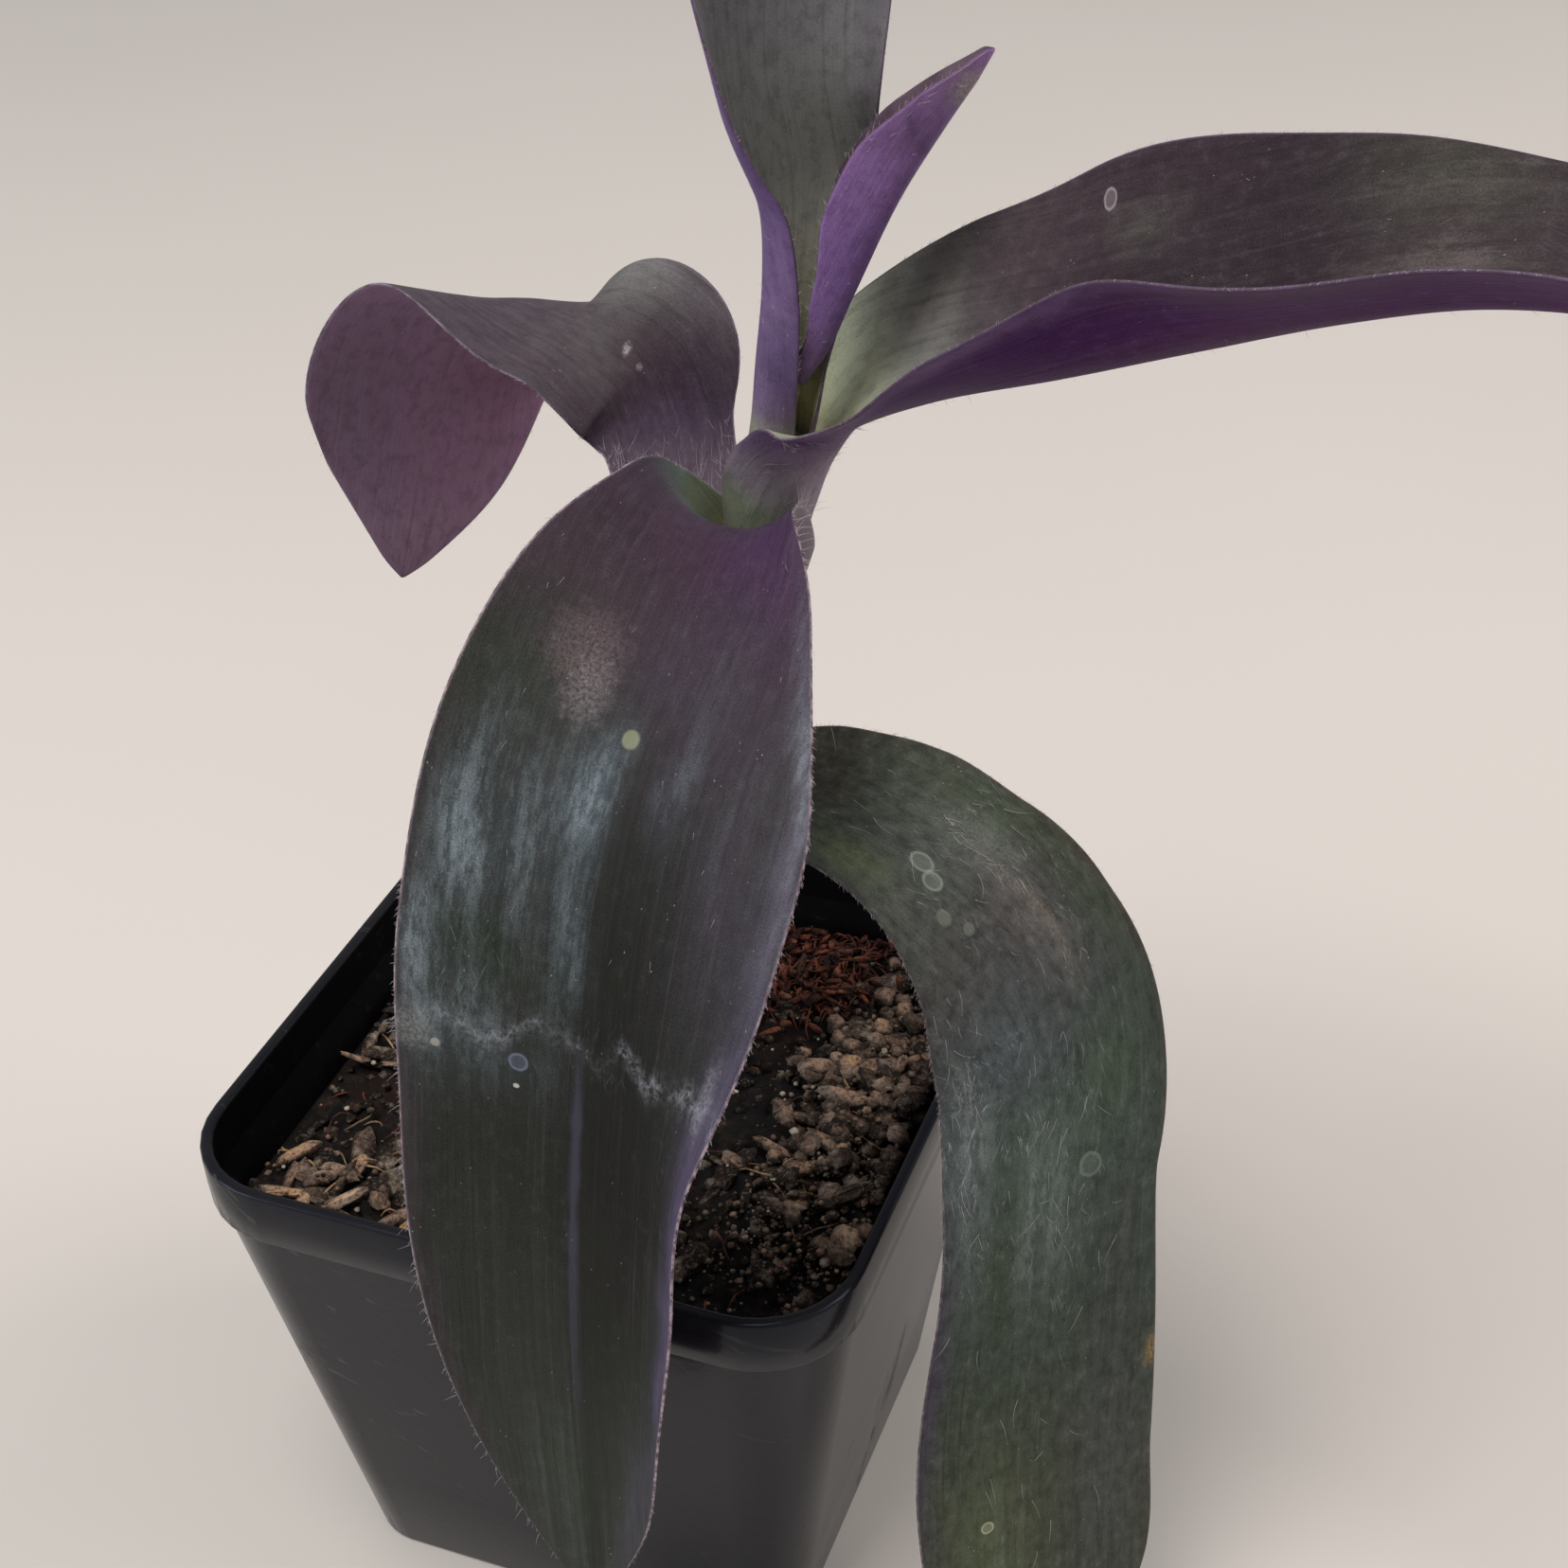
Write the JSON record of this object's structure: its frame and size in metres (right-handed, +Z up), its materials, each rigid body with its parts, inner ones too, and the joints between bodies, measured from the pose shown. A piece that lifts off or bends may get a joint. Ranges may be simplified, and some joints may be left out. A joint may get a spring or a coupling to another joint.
{
  "type": "potted tradescantia",
  "caption": "Leaning stem with broad, trough-shaped purple-green leaves that clasp it, standing in peat in a small square nursery pot with a rim band.",
  "frame": {"origin": "centre of the pot's underside, on the surface it stands on", "axes": "+Z up; the pot's sides lie along X and Y, its front faces -Y, and the longest leaf reaches along +X"},
  "size_m": [0.1305, 0.0754, 0.1832],
  "materials": {
    "pot": "satin",
    "soil": "matte",
    "stem": "satin",
    "front_leaf": "satin",
    "lower_right_leaf": "satin",
    "back_left_leaf": "satin",
    "right_leaf": "satin",
    "top_leaf": "satin",
    "young_leaf": "satin"
  },
  "bodies": {
    "root": {"pot": "pot", "soil": "soil", "stem": "stem", "front_leaf": "front_leaf", "lower_right_leaf": "lower_right_leaf", "back_left_leaf": "back_left_leaf", "right_leaf": "right_leaf", "top_leaf": "top_leaf", "young_leaf": "young_leaf"}
  },
  "joints": []
}
